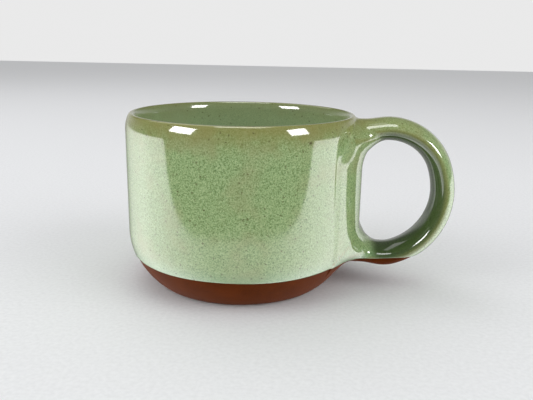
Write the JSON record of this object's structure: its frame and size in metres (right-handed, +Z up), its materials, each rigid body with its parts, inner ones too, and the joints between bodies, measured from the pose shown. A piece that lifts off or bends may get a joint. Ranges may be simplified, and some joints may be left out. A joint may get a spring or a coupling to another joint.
{
  "type": "stoneware mug",
  "caption": "Squat round stoneware mug with a D-shaped strap handle, glossy speckled green glaze inside and out, and a bare clay base.",
  "frame": {"origin": "centre of the foot ring, on the surface that the mug stands on", "axes": "+Z up along the cup's axis, +X from the cup's axis out through the handle"},
  "size_m": [0.1349, 0.095, 0.07],
  "materials": {
    "stoneware_clay": "bare fired stoneware, matt, warm brown",
    "green_glaze": "glossy sage green glaze with fine speckles, olive where it runs thin"
  },
  "bodies": {
    "root": {"cup_body": "stoneware_clay", "handle": "stoneware_clay", "upper_slip": "stoneware_clay", "lower_slip": "stoneware_clay", "liner_glaze": "green_glaze", "dip_glaze": "green_glaze"}
  },
  "joints": []
}
